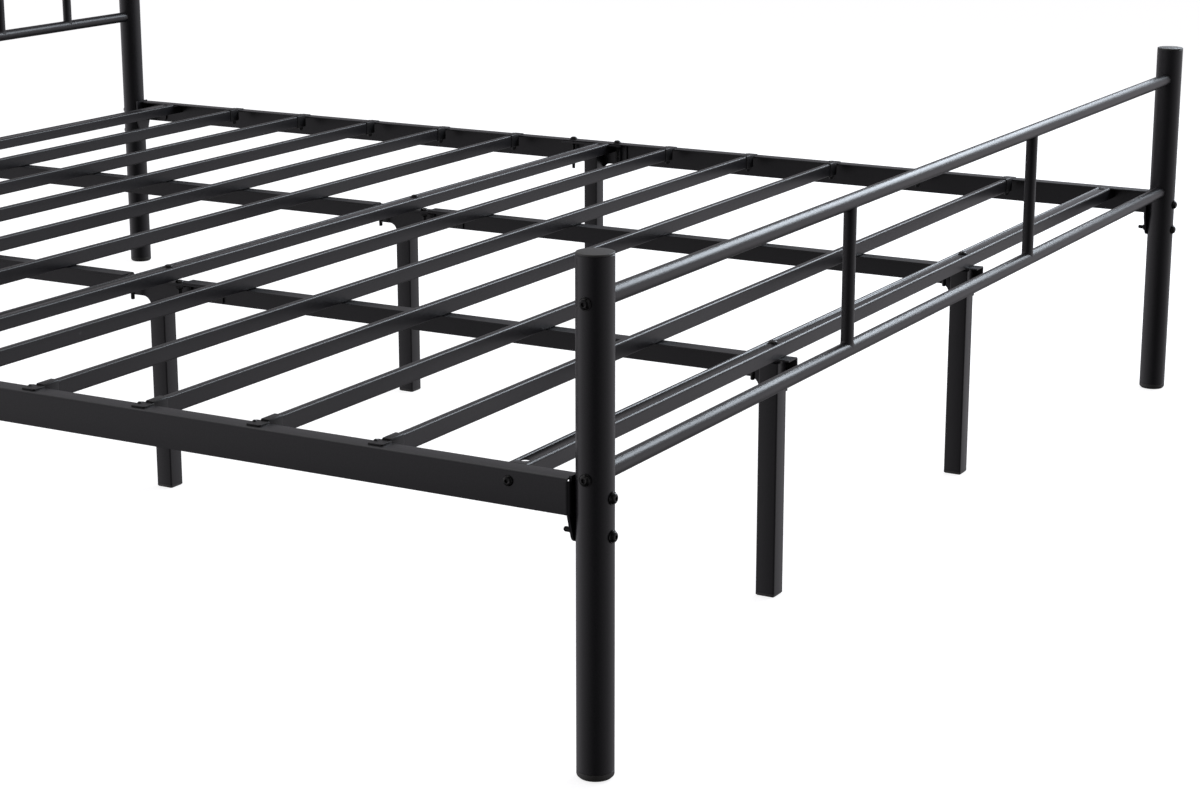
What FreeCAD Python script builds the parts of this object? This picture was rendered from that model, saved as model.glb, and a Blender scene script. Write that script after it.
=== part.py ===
"""Metal bed frame: round steel posts, head and foot boards, angle rails, deck slats and support legs.

Millimetres.  X runs across the bed, Y from foot (-Y) to head (+Y), Z up.
The origin lies on the floor below the middle of the bed.
"""
import FreeCAD, Part
import math
import os

V = FreeCAD.Vector

# Overall sizes
POST_SPAN_X = 1860.0        # centre to centre across the bed
POST_SPAN_Y = 2100.0        # centre to centre along the bed
DECK_Z = 323.0              # top of the side rails
FOOT_HEIGHT = 556.0
HEAD_HEIGHT = 1000.0

# Posts, with the plastic plugs in their ends
POST_D = 40.0
POST_WALL = 1.5
CAP_RIM = 3.0
CAP_ROUND = 1.4
GLIDE_RIM = 8.0
GLIDE_CHAMFER = 3.0
PLUG_DEPTH = 12.0
PLUG_CLEARANCE = 0.2

# Head and foot boards
TUBE_D = 19.0
TUBE_WALL = 1.5
TUBE_PLUG = 25.0            # threaded plug welded in each tube end
SPINDLE_D = 16.0
SPINDLE_WALL = 1.2
FOOT_UPPER_Z = 506.0
BOARD_LOWER_RISE = 2.0      # foot lower tube above the deck
HEAD_LOWER_Z = 490.0
HEAD_UPPER_DROP = 50.0      # head upper tube below the top of the posts
HEAD_SPINDLES = 9
FOOT_SPINDLE_SHARE = 3      # spindles stand a third of the board apart

# Side rails and the folded plates at their ends
RAIL_SHEET = 2.0
RAIL_FLANGE = 25.0
RAIL_DEPTH = 39.0
RAIL_BEND = 4.0
RAIL_INSET = 2.0            # rail face inside the outermost line of the posts
HALF_GAP = 1.0              # between two halves of a rail
END_PLATE = 3.0             # sheet of the plate bolted to the post
END_PLATE_FIT = 0.2
END_PLATE_RISE = 2.0        # plate above the deck
END_PLATE_BEND = 4.0        # fold between the plate and the rail's face
END_PLATE_TOE_R = 11.0      # round lower end, about the lower bolt
END_PLATE_TONGUE = 45.0     # tongue lying inside the rail
POST_BOLT_DROPS = (19.0, 59.5)
POST_BOLT_END = 8.0         # thread showing past the nut

# Cross bars
BAR_SHEET = 2.0
BAR_FLANGE = 22.0
BAR_DEPTH = 18.0
BAR_BEND = 3.0
BAR_END_GAP = 0.5
BAR_TAB = 12.0              # tab folded at each end for the screw
BAR_SCREW_DROP = 12.0
BAR_HOLE_D = 11.0
BAR_HOLE_INSET = 14.0

# Centre rails
CENTRE_RAIL_X = 312.0
CENTRE_SHEET = 2.0
CENTRE_FLANGE = 25.0
CENTRE_DEPTH = 30.0
CENTRE_BEND = 3.0
CENTRE_OVERHANG = 25.0      # past the middle of the end bars
SPLICE_SHEET = 2.5
SPLICE_HALF = 105.0
SPLICE_BARE_HALF = 53.0     # length of splice left open each side of the middle
SPLICE_SIDE_BOLT = 82.0
SPLICE_BEND = 3.5

# Slats and their plastic end clips
SLAT_PITCH = 158.4
SLATS_EACH_WAY = 5
SLAT_WIDTH = 10.0
SLAT_DEPTH = 21.0
SLAT_WALL = 1.2
SLAT_ROUND = 2.0
CLIP_WALL = 1.2
CLIP_GRIP = 24.0
CLIP_GAP = 1.0
CLIP_FIT = 0.1
CLIP_TAB_X = 18.0
CLIP_TAB_Y = 19.0
CLIP_TAB_SHEET = 2.0
CLIP_STUD_D = 6.0
CLIP_STUD_RISE = 2.5
CLIP_STUD_EDGE = 1.0        # stud inside the tab's edge
CLIP_ROUND = 0.8            # corner radius as a share of the wall
CLIP_PEG_D = 8.0
CLIP_PEG_DROP = 6.0

# Support legs
END_LEG_Y = 955.0
LEG_SIDE = 26.0
LEG_WALL = 1.5
LEG_FOOT_RIM = 4.0
LEG_FOOT_CHAMFER = 1.2
LEG_PLATE = 3.0
LEG_SHELF = 2.5
SHELF_INSET = 1.0
SHOULDER_ROUND = 13.0
MID_PLATE_HALF = 53.0
LEG_PLATE_REACH = 43.0
SIDE_PLATE_HALF = 60.0
SHOULDER_DROP = 1.0         # plate showing below the rail's web
MID_NECK = 6.0              # plate wider than its leg below the shoulder
END_NECK = 12.0
MID_BOLT_Y = 42.0
END_BOLT_Y = 27.0
SIDE_BOLT_Y = 45.0
BAR_BOLT_INSET = 6.0        # bar bolts off the centre rail's middle line
MID_BAR_SHIFT = -24.0       # the middle bar stands clear of the side legs

# Bolts and nuts
BOLT_D = 6.0
BOLT_HOLE_D = 6.6
HEAD_D = 12.0
HEAD_RISE = 3.3
HEAD_ROUND = 2.0
SOCKET_AF = 4.0
SOCKET_DEPTH = 2.0
WASHER_D = 14.0
WASHER_SHEET = 1.2
NUT_AF = 10.0
NUT_RISE = 5.0
NUT_BORE = 6.2
THREAD_END = 4.0            # thread showing past a nut
LONG_TIP = 270.0            # height of the tips of the joint bolts
END_TIP = 273.5             # height of the tips beside the end legs
TUBE_BOLT_GRIP = 17.5       # thread engaged in a tube's plug
SMALL = 0.01                # tolerance for picking edges

# Derived places
HALF_X = POST_SPAN_X / 2
HALF_Y = POST_SPAN_Y / 2
POST_R = POST_D / 2
RAIL_FACE = HALF_X + POST_R - RAIL_INSET
RAIL_WEB_IN = RAIL_FACE - RAIL_SHEET
RAIL_EDGE = RAIL_FACE - RAIL_FLANGE
PLATE_FACE = HALF_Y - POST_R - END_PLATE_FIT
RAIL_END = PLATE_FACE - END_PLATE
HEEL = RAIL_SHEET + END_PLATE
FOLD_TOP = DECK_Z - RAIL_BEND
RAIL_BOTTOM = DECK_Z - RAIL_DEPTH
BAR_BOTTOM = DECK_Z - BAR_DEPTH
BAR_TAB_TOP = FOLD_TOP - BAR_END_GAP
CENTRE_BOTTOM = BAR_BOTTOM - CENTRE_DEPTH
SHELF_TOP = BAR_BOTTOM - CENTRE_SHEET
FOOT_LOWER_Z = DECK_Z + BOARD_LOWER_RISE
HEAD_UPPER_Z = HEAD_HEIGHT - HEAD_UPPER_DROP
HEAD_SPINDLE_STEP = POST_SPAN_X / (HEAD_SPINDLES + 1)
FOOT_SPINDLE_X = POST_SPAN_X / (2 * FOOT_SPINDLE_SHARE)
SIDES = {"left": -1, "right": 1}
ENDS = {"foot": -1, "head": 1}


def box(x0, x1, y0, y1, z0, z1):
    """Block between two corners given in any order."""
    low = V(min(x0, x1), min(y0, y1), min(z0, z1))
    return Part.makeBox(abs(x1 - x0), abs(y1 - y0), abs(z1 - z0), low)


def rod(start, end, diameter):
    axis = end - start
    return Part.makeCylinder(diameter / 2, axis.Length, start, axis)


def hexagon(base, axis, across_flats, height):
    """Hexagonal prism standing on base."""
    side = V(0, 0, 1) if abs(axis.z) < 0.5 else V(1, 0, 0)
    points = []
    for step in range(7):
        turn = FreeCAD.Rotation(axis, 60 * step)
        points.append(base + turn.multVec(side) * (across_flats / math.sqrt(3)))
    return Part.Face(Part.makePolygon(points)).extrude(axis * height)


def pipe(start, end, diameter, wall):
    return rod(start, end, diameter).cut(rod(start, end, diameter - 2 * wall))


def angle_bar(corner, across, run, width, depth, sheet, bend):
    """Folded angle: a flange from the corner along across, a web hanging from the corner."""
    half = math.sqrt(0.5)

    def at(u, v):
        return corner + across * u - V(0, 0, v)

    outer_mid = at(bend * (1 - half), bend * (1 - half))
    inner_mid = at(bend - (bend - sheet) * half, bend - (bend - sheet) * half)
    edges = [
        Part.makeLine(at(bend, 0), at(width, 0)),
        Part.makeLine(at(width, 0), at(width, sheet)),
        Part.makeLine(at(width, sheet), at(bend, sheet)),
        Part.Arc(at(bend, sheet), inner_mid, at(sheet, bend)).toShape(),
        Part.makeLine(at(sheet, bend), at(sheet, depth)),
        Part.makeLine(at(sheet, depth), at(0, depth)),
        Part.makeLine(at(0, depth), at(0, bend)),
        Part.Arc(at(0, bend), outer_mid, at(bend, 0)).toShape(),
    ]
    return Part.Face(Part.Wire(edges)).extrude(run)


def drill(shape, points, axis, diameter, depth):
    """Holes centred on the points, reaching depth both ways along axis."""
    for point in points:
        shape = shape.cut(rod(point - axis * depth, point + axis * depth, diameter))
    return shape


def bolt(seat, axis, length, washer=False):
    """Button-head socket bolt: head above the seat, shank along -axis."""
    lift = WASHER_SHEET if washer else 0.0
    under_head = seat + axis * lift
    head = Part.makeCylinder(HEAD_D / 2, HEAD_RISE, under_head, axis)
    crown = [edge for edge in head.Edges if edge_beyond(edge, under_head, axis, HEAD_RISE)]
    head = head.makeFillet(HEAD_ROUND, crown)
    socket = hexagon(under_head + axis * (HEAD_RISE - SOCKET_DEPTH), axis, SOCKET_AF, SOCKET_DEPTH)
    solid = head.cut(socket).fuse(rod(under_head, seat - axis * length, BOLT_D))
    if washer:
        solid = solid.fuse(Part.makeCylinder(WASHER_D / 2, WASHER_SHEET, seat, axis))
    return solid.removeSplitter()


def edge_beyond(edge, start, axis, reach):
    """True for a closed edge lying in the plane at reach along axis."""
    if not edge.isClosed():
        return False
    return abs((edge.CenterOfMass - start).dot(axis) - reach) < SMALL


def nut(seat, axis):
    """Lock nut standing on the seat along axis."""
    body = hexagon(seat, axis, NUT_AF, NUT_RISE)
    return body.cut(rod(seat, seat + axis * NUT_RISE, NUT_BORE))


# Posts and their plugs

def post_height(end):
    return FOOT_HEIGHT if end < 0 else HEAD_HEIGHT


def board_heights(end):
    if end < 0:
        return (FOOT_LOWER_Z, FOOT_UPPER_Z)
    return (HEAD_LOWER_Z, HEAD_UPPER_Z)


def post(side, end):
    x, y = side * HALF_X, end * HALF_Y
    body = pipe(V(x, y, GLIDE_RIM), V(x, y, post_height(end) - CAP_RIM), POST_D, POST_WALL)
    outer = [V(x + side * POST_R, y, z) for z in board_heights(end)]
    body = drill(body, outer, V(1, 0, 0), BOLT_HOLE_D, POST_D + POST_WALL)
    through = [V(x, y, DECK_Z - drop) for drop in POST_BOLT_DROPS]
    return drill(body, through, V(0, 1, 0), BOLT_HOLE_D, POST_D)


def plug(x, y, rim_z, up):
    """Spigot of a post plug, from the rim into the tube; up is its direction."""
    spigot_d = POST_D - 2 * POST_WALL - 2 * PLUG_CLEARANCE
    return rod(V(x, y, rim_z), V(x, y, rim_z + up * PLUG_DEPTH), spigot_d)


def post_cap(side, end):
    x, y, top = side * HALF_X, end * HALF_Y, post_height(end)
    seat = V(x, y, top - CAP_RIM)
    disc = Part.makeCylinder(POST_R, CAP_RIM, seat)
    crown = [edge for edge in disc.Edges if edge_beyond(edge, seat, V(0, 0, 1), CAP_RIM)]
    return disc.makeFillet(CAP_ROUND, crown).fuse(plug(x, y, seat.z, -1)).removeSplitter()


def post_glide(side, end):
    x, y = side * HALF_X, end * HALF_Y
    toe = Part.makeCone(POST_R - GLIDE_CHAMFER, POST_R, GLIDE_CHAMFER, V(x, y, 0))
    rim = rod(V(x, y, GLIDE_CHAMFER), V(x, y, GLIDE_RIM), POST_D)
    return toe.fuse(rim).fuse(plug(x, y, GLIDE_RIM, 1)).removeSplitter()


# Head and foot boards

def cross_tube(end, z):
    """Round tube between two posts, with a threaded plug welded in each end."""
    y = end * HALF_Y
    left, right = V(-HALF_X, y, z), V(HALF_X, y, z)
    inner_d = TUBE_D - 2 * TUBE_WALL
    reach = HALF_X - POST_R - TUBE_PLUG
    hollow = rod(V(-reach, y, z), V(reach, y, z), inner_d)
    body = rod(left, right, TUBE_D).cut(hollow)
    for side in SIDES.values():
        x = side * HALF_X
        body = body.cut(rod(V(x, y, z - POST_D), V(x, y, z + POST_D), POST_D))
    return drill(body, [left, right], V(1, 0, 0), BOLT_HOLE_D, POST_R + TUBE_PLUG)


def spindle(x, end):
    """Thin upright tube, its ends shaped to the two tubes that it is welded to."""
    y = end * HALF_Y
    low, high = board_heights(end)
    body = pipe(V(x, y, low), V(x, y, high), SPINDLE_D, SPINDLE_WALL)
    for z in (low, high):
        body = body.cut(rod(V(x - TUBE_D, y, z), V(x + TUBE_D, y, z), TUBE_D))
    return body


def tube_bolts():
    solids = []
    for end in ENDS.values():
        for side in SIDES.values():
            for z in board_heights(end):
                seat = V(side * (HALF_X + POST_R), end * HALF_Y, z)
                solids.append(bolt(seat, V(side, 0, 0), POST_D + TUBE_BOLT_GRIP, washer=True))
    return solids


# Side rails and their end plates

def side_rail(side, end):
    start = HALF_GAP / 2
    corner = V(side * RAIL_FACE, end * start, DECK_Z)
    run = V(0, end * (RAIL_END - start), 0)
    body = angle_bar(corner, V(-side, 0, 0), run, RAIL_FLANGE, RAIL_DEPTH, RAIL_SHEET, RAIL_BEND)
    body = body.cut(box(side * RAIL_FACE, side * (RAIL_FACE - HEEL), end * (PLATE_FACE - HEEL),
                        end * RAIL_END, RAIL_BOTTOM, FOLD_TOP))
    joint = V(side * side_bolt_x(), end * SIDE_BOLT_Y, DECK_Z)
    body = drill(body, [joint], V(0, 0, 1), BOLT_HOLE_D, RAIL_SHEET * 2)
    screws = [V(side * RAIL_FACE, y, DECK_Z - BAR_SCREW_DROP) for y in bar_screw_rows()]
    own = [point for point in screws if point.y * end > 0]
    return drill(body, own, V(1, 0, 0), BOLT_HOLE_D, RAIL_SHEET * 2)


def side_bolt_x():
    return RAIL_FACE - RAIL_FLANGE / 2


def end_plate(side, end):
    """Flat plate across a rail's end, its lower end rounded about the lower bolt."""
    x = side * HALF_X
    half = RAIL_FACE - HALF_X
    toe_z = DECK_Z - POST_BOLT_DROPS[1]
    rise = RAIL_BOTTOM - toe_z
    tip = math.atan2(rise, half) - math.acos(END_PLATE_TOE_R / math.hypot(half, rise))
    toe_u, toe_v = END_PLATE_TOE_R * math.cos(tip), END_PLATE_TOE_R * math.sin(tip)

    def at(u, z):
        return V(x + side * u, end * PLATE_FACE, z)

    top = DECK_Z + END_PLATE_RISE
    path = [at(-toe_u, toe_z + toe_v), at(-half, RAIL_BOTTOM), at(-half, top), at(half - HEEL, top),
            at(half - HEEL, RAIL_BOTTOM), at(half, RAIL_BOTTOM), at(toe_u, toe_z + toe_v)]
    edges = [Part.makeLine(first, second) for first, second in zip(path, path[1:])]
    edges.append(Part.Arc(path[-1], at(0, toe_z - END_PLATE_TOE_R), path[0]).toShape())
    return Part.Face(Part.Wire(edges)).extrude(V(0, -end * END_PLATE, 0))


def rail_bracket(side, end):
    """End plate folded back into the rail's face, with a tongue welded inside the rail."""
    heel = box(side * RAIL_FACE, side * (RAIL_FACE - HEEL), end * PLATE_FACE, end * (PLATE_FACE - HEEL),
               RAIL_BOTTOM, FOLD_TOP)
    corner = V(side * RAIL_FACE, end * PLATE_FACE, (RAIL_BOTTOM + FOLD_TOP) / 2)
    fold = [edge for edge in heel.Edges if (edge.CenterOfMass - corner).Length < SMALL]
    heel = heel.makeFillet(END_PLATE_BEND, fold)
    tongue = box(side * RAIL_WEB_IN, side * (RAIL_WEB_IN - END_PLATE), end * RAIL_END,
                 end * (RAIL_END - END_PLATE_TONGUE), RAIL_BOTTOM + RAIL_SHEET, FOLD_TOP - RAIL_SHEET)
    body = end_plate(side, end).fuse(heel).fuse(tongue).removeSplitter()
    bolts = [V(side * HALF_X, end * PLATE_FACE, DECK_Z - drop) for drop in POST_BOLT_DROPS]
    return drill(body, bolts, V(0, 1, 0), BOLT_HOLE_D, END_PLATE * 2)


# Cross bars

def bar_rows():
    """Front face of each cross bar, foot to head."""
    half = BAR_FLANGE / 2
    return {"foot": -END_LEG_Y - half, "mid": MID_BAR_SHIFT - half, "head": END_LEG_Y - half}


def bar_reach(name):
    """Outer face of the bar's end tabs: against the rail, or the leg plate at the middle."""
    return RAIL_WEB_IN - LEG_PLATE if name == "mid" else RAIL_WEB_IN


def bar_screw_rows():
    return [front + BAR_SHEET + BAR_TAB / 2 for front in bar_rows().values()]


def cross_bar(name):
    front = bar_rows()[name]
    flange_end = RAIL_EDGE - BAR_END_GAP
    reach = bar_reach(name)
    start = V(-reach, front, DECK_Z)
    run = V(2 * reach, 0, 0)
    body = angle_bar(start, V(0, 1, 0), run, BAR_FLANGE, BAR_DEPTH, BAR_SHEET, BAR_BEND)
    back = front + BAR_FLANGE
    for side in SIDES.values():
        under_rail = box(side * flange_end, side * reach, front, back, DECK_Z, BAR_TAB_TOP)
        body = body.cut(under_rail)
        tab = box(side * reach, side * (reach - BAR_SHEET), front, front + BAR_TAB,
                  BAR_BOTTOM, BAR_TAB_TOP)
        body = body.fuse(tab)
    body = body.removeSplitter()
    centre = front + BAR_FLANGE / 2
    tops = [V(x, centre, DECK_Z) for x in bar_bolt_xs()]
    body = drill(body, tops, V(0, 0, 1), BOLT_HOLE_D, BAR_SHEET * 2)
    spare = [V(side * (flange_end - BAR_HOLE_INSET), centre, DECK_Z) for side in SIDES.values()]
    body = drill(body, spare, V(0, 0, 1), BAR_HOLE_D, BAR_SHEET * 2)
    screw_y = front + BAR_SHEET + BAR_TAB / 2
    screws = [V(side * reach, screw_y, DECK_Z - BAR_SCREW_DROP) for side in SIDES.values()]
    return drill(body, screws, V(1, 0, 0), BOLT_HOLE_D, BAR_SHEET * 2)


def bar_bolt_xs():
    return [side * CENTRE_RAIL_X - BAR_BOLT_INSET for side in SIDES.values()]


# Centre rails

def centre_web(side):
    """Outer face of a centre rail's web."""
    return side * CENTRE_RAIL_X + CENTRE_FLANGE / 2


def centre_rail(side, end):
    start = SPLICE_BARE_HALF
    corner = V(centre_web(side), end * start, BAR_BOTTOM)
    run = V(0, end * (END_LEG_Y + CENTRE_OVERHANG - start), 0)
    body = angle_bar(corner, V(-1, 0, 0), run, CENTRE_FLANGE, CENTRE_DEPTH, CENTRE_SHEET, CENTRE_BEND)
    bolt_x = side * CENTRE_RAIL_X - BAR_BOLT_INSET
    tops = [V(bolt_x, end * END_LEG_Y, BAR_BOTTOM), V(bolt_x, end * (END_LEG_Y - END_BOLT_Y), BAR_BOTTOM)]
    body = drill(body, tops, V(0, 0, 1), BOLT_HOLE_D, CENTRE_SHEET * 2)
    return drill(body, [splice_screw(side, end)], V(1, 0, 0), BOLT_HOLE_D, CENTRE_SHEET * 2)


def splice_screw(side, end):
    return V(centre_web(side), end * SPLICE_SIDE_BOLT, BAR_BOTTOM - CENTRE_DEPTH / 2)


def splice_angle(side):
    """Angle nested inside both halves of a centre rail, bare between their ends."""
    corner = V(centre_web(side) - CENTRE_SHEET, -SPLICE_HALF, SHELF_TOP)
    width = CENTRE_FLANGE - CENTRE_SHEET
    depth = CENTRE_DEPTH - 2 * CENTRE_SHEET
    run = V(0, 2 * SPLICE_HALF, 0)
    body = angle_bar(corner, V(-1, 0, 0), run, width, depth, SPLICE_SHEET, SPLICE_BEND)
    bolt_x = side * CENTRE_RAIL_X - BAR_BOLT_INSET
    rows = (-MID_BOLT_Y, MID_BAR_SHIFT, MID_BOLT_Y)
    body = drill(body, [V(bolt_x, y, SHELF_TOP) for y in rows], V(0, 0, 1), BOLT_HOLE_D, SPLICE_SHEET * 2)
    screws = [splice_screw(side, end) for end in ENDS.values()]
    return drill(body, screws, V(1, 0, 0), BOLT_HOLE_D, CENTRE_SHEET * 4)


# Slats and end clips

def slat_rows():
    rows = []
    for step in range(1, SLATS_EACH_WAY + 1):
        rows.extend([-step * SLAT_PITCH, step * SLAT_PITCH])
    return sorted(rows)


def slat_end():
    return RAIL_EDGE - CLIP_GAP - CLIP_WALL


def slat(y):
    """Flat tube on edge, resting on the centre rails."""
    reach = slat_end()
    half = SLAT_WIDTH / 2
    body = box(-reach, reach, y - half, y + half, BAR_BOTTOM, BAR_BOTTOM + SLAT_DEPTH)
    long_edges = [edge for edge in body.Edges if edge.Length > reach]
    body = body.makeFillet(SLAT_ROUND, long_edges)
    bore = box(-reach, reach, y - half + SLAT_WALL, y + half - SLAT_WALL,
               BAR_BOTTOM + SLAT_WALL, BAR_BOTTOM + SLAT_DEPTH - SLAT_WALL)
    return body.cut(bore)


def slat_clip(side, y):
    """Plastic collar on a slat's end, with a tab lying on the side rail."""
    outer = side * (RAIL_EDGE - CLIP_GAP)
    inner = side * (slat_end() - CLIP_GRIP)
    half = SLAT_WIDTH / 2 + CLIP_FIT
    low, high = BAR_BOTTOM - CLIP_FIT, BAR_BOTTOM + SLAT_DEPTH + CLIP_FIT
    wall = CLIP_WALL
    collar = box(inner, outer, y - half - wall, y + half + wall, low - wall, high + wall)
    upright = [edge for edge in collar.Edges if edge.Length > CLIP_GRIP]
    collar = collar.makeFillet(wall * CLIP_ROUND, upright)
    tab_start = y - half - wall
    tab = box(outer - side * wall, outer + side * CLIP_TAB_X, tab_start, tab_start + CLIP_TAB_Y,
              DECK_Z, DECK_Z + CLIP_TAB_SHEET)
    corners = [edge for edge in tab.Edges if abs(edge.Length - CLIP_TAB_SHEET) < SMALL]
    body = collar.fuse(tab.makeFillet(wall * CLIP_ROUND, corners))
    stud_y = tab_start + CLIP_TAB_Y - CLIP_STUD_D / 2 - CLIP_STUD_EDGE
    stud = V(outer + side * CLIP_STUD_D, stud_y, DECK_Z)
    body = body.fuse(rod(stud, stud + V(0, 0, CLIP_TAB_SHEET + CLIP_STUD_RISE), CLIP_STUD_D))
    peg = V(outer - side * CLIP_PEG_D, y, low - wall - CLIP_PEG_DROP)
    body = body.fuse(rod(peg, peg + V(0, 0, CLIP_PEG_DROP + wall / 2), CLIP_PEG_D))
    reach = side * (slat_end() + CLIP_FIT)
    return body.cut(box(inner, reach, y - half, y + half, low, high)).removeSplitter()


def slat_clips():
    return [slat_clip(side, y) for y in slat_rows() for side in SIDES.values()]


# Support legs

def square_tube(x, y, low, high):
    half, bore = LEG_SIDE / 2, LEG_SIDE / 2 - LEG_WALL
    body = box(x - half, x + half, y - half, y + half, low, high)
    body = body.makeFillet(LEG_WALL, [edge for edge in body.Edges if abs(edge.Length - high + low) < SMALL])
    return body.cut(box(x - bore, x + bore, y - bore, y + bore, low, high))


def shoulder_plate(x_face, thickness, y, reaches, necks, top, shoulder):
    """Upright plate above a leg; its lower corners curve in to necks beside the leg."""
    round_r = SHOULDER_ROUND
    bend = round_r * (1 - math.sqrt(0.5))
    low = shoulder - round_r

    def at(v, z):
        return V(x_face, y + v, z)

    back, front = reaches
    sides = ((-1, back, LEG_SIDE / 2 + necks[0]), (1, front, LEG_SIDE / 2 + necks[1]))
    edges = [Part.makeLine(at(-back, top), at(front, top)),
             Part.makeLine(at(-sides[0][2], low), at(sides[1][2], low))]
    for sign, reach, half in sides:
        if reach - half < round_r:
            edges.append(Part.makeLine(at(sign * reach, top), at(sign * half, low)))
            continue
        mid = at(sign * (half + bend), shoulder - bend)
        edges.append(Part.makeLine(at(sign * reach, top), at(sign * reach, shoulder)))
        edges.append(Part.makeLine(at(sign * reach, shoulder), at(sign * (half + round_r), shoulder)))
        edges.append(Part.Arc(at(sign * (half + round_r), shoulder), mid, at(sign * half, low)).toShape())
    wire = Part.Wire(Part.__sortEdges__(edges))
    return Part.Face(wire).extrude(V(thickness, 0, 0))


def leg_foot(x, y):
    """Plastic plug in the bottom of a leg."""
    half = LEG_SIDE / 2
    rim = box(x - half, x + half, y - half, y + half, 0, LEG_FOOT_RIM)
    lower = [edge for edge in rim.Edges if edge.BoundBox.ZMax < SMALL]
    rim = rim.makeChamfer(LEG_FOOT_CHAMFER, lower)
    inner = half - LEG_WALL - PLUG_CLEARANCE
    return rim.fuse(box(x - inner, x + inner, y - inner, y + inner, LEG_FOOT_RIM, LEG_FOOT_RIM + PLUG_DEPTH))


def centre_shelf_edge(side):
    """Free edge of a bracket's shelf, just behind the edge of the centre rail's flange."""
    return centre_web(side) - CENTRE_FLANGE + SHELF_INSET


def mid_plate_x(side):
    """Outer face of the plate nested in the splice angle."""
    return centre_web(side) - CENTRE_SHEET - SPLICE_SHEET


def centre_leg_mid(side):
    """Leg under the joint of a centre rail, its plate and shelf nested in the splice."""
    plate_x = mid_plate_x(side)
    shelf_top = SHELF_TOP - SPLICE_SHEET
    shoulder = CENTRE_BOTTOM - SHOULDER_DROP
    reaches = (MID_PLATE_HALF, MID_PLATE_HALF)
    notch = SPLICE_BEND - SPLICE_SHEET
    necks = (MID_NECK, MID_NECK)
    plate = shoulder_plate(plate_x - LEG_PLATE, LEG_PLATE, 0, reaches, necks, shelf_top - notch, shoulder)
    inner = centre_shelf_edge(side)
    shelf = box(inner, plate_x - notch, -MID_PLATE_HALF, MID_PLATE_HALF, shelf_top - LEG_SHELF, shelf_top)
    leg_x = plate_x - LEG_PLATE / 2
    body = square_tube(leg_x, 0, LEG_FOOT_RIM, shoulder - SHOULDER_ROUND / 2)
    body = body.fuse(plate).fuse(shelf).removeSplitter()
    rows = (-MID_BOLT_Y, MID_BAR_SHIFT, MID_BOLT_Y)
    tops = [V(side * CENTRE_RAIL_X - BAR_BOLT_INSET, y, shelf_top) for y in rows]
    return drill(body, tops, V(0, 0, 1), BOLT_HOLE_D, LEG_SHELF * 2)


def end_leg_x(side):
    return centre_web(side) - CENTRE_SHEET - LEG_PLATE - LEG_SIDE / 2


def centre_leg_end(side, end):
    """Leg under the end of a centre rail, standing in front of its plate."""
    plate_x = centre_web(side) - CENTRE_SHEET
    shoulder = CENTRE_BOTTOM - SHOULDER_DROP
    y = end * END_LEG_Y
    half = LEG_SIDE / 2
    reaches, necks = (half, LEG_PLATE_REACH), (0, END_NECK)
    if end > 0:
        reaches, necks = reaches[::-1], necks[::-1]
    notch = CENTRE_BEND - CENTRE_SHEET
    plate = shoulder_plate(plate_x - LEG_PLATE, LEG_PLATE, y, reaches, necks, SHELF_TOP - notch, shoulder)
    shelf = box(centre_shelf_edge(side), plate_x - notch, y - reaches[0], y + reaches[1],
                SHELF_TOP - LEG_SHELF, SHELF_TOP)
    body = square_tube(end_leg_x(side), y, LEG_FOOT_RIM, SHELF_TOP - LEG_SHELF)
    body = body.fuse(plate).fuse(shelf).removeSplitter()
    bolt_x = side * CENTRE_RAIL_X - BAR_BOLT_INSET
    tops = [V(bolt_x, y, SHELF_TOP), V(bolt_x, y - end * END_BOLT_Y, SHELF_TOP)]
    return drill(body, tops, V(0, 0, 1), BOLT_HOLE_D, LEG_SHELF * 2)


def side_leg_x(side):
    return side * (RAIL_WEB_IN - LEG_PLATE - LEG_SIDE / 2)


def side_leg(side):
    """Leg under the joint of a side rail, its plate and shelf nested in both halves."""
    shelf_top = DECK_Z - RAIL_SHEET
    shoulder = RAIL_BOTTOM - SHOULDER_DROP
    face = RAIL_WEB_IN if side > 0 else -RAIL_WEB_IN + LEG_PLATE
    reaches = (SIDE_PLATE_HALF, SIDE_PLATE_HALF)
    plate_top = FOLD_TOP
    plate = shoulder_plate(face - LEG_PLATE, LEG_PLATE, 0, reaches, (0, 0), plate_top, shoulder)
    shelf_in, shelf_out = side * (RAIL_EDGE + SHELF_INSET), side * (RAIL_WEB_IN - LEG_PLATE)
    shelf = box(shelf_in, shelf_out, -SIDE_PLATE_HALF, SIDE_PLATE_HALF, shelf_top - LEG_SHELF, shelf_top)
    fold = box(shelf_out, side * RAIL_WEB_IN, -SIDE_PLATE_HALF, SIDE_PLATE_HALF,
               shelf_top - LEG_SHELF, plate_top)
    body = square_tube(side_leg_x(side), 0, LEG_FOOT_RIM, shelf_top - LEG_SHELF)
    body = body.fuse(plate).fuse(shelf).fuse(fold).removeSplitter()
    front = bar_rows()["mid"]
    body = body.cut(box(side * RAIL_EDGE, side * (RAIL_WEB_IN - LEG_PLATE), front, -LEG_SIDE / 2,
                        shelf_top, shelf_top - LEG_SHELF))
    tops = [V(side * side_bolt_x(), end * SIDE_BOLT_Y, shelf_top) for end in ENDS.values()]
    body = drill(body, tops, V(0, 0, 1), BOLT_HOLE_D, LEG_SHELF * 2)
    screw = V(side * RAIL_WEB_IN, front + BAR_SHEET + BAR_TAB / 2, DECK_Z - BAR_SCREW_DROP)
    return drill(body, [screw], V(1, 0, 0), BOLT_HOLE_D, LEG_PLATE * 2)


def leg_feet():
    places = []
    for side in SIDES.values():
        places.append((side_leg_x(side), 0))
        places.append((mid_plate_x(side) - LEG_PLATE / 2, 0))
        places.append((end_leg_x(side), -END_LEG_Y))
        places.append((end_leg_x(side), END_LEG_Y))
    return [leg_foot(x, y) for x, y in places]


# Bolts with nuts

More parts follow.
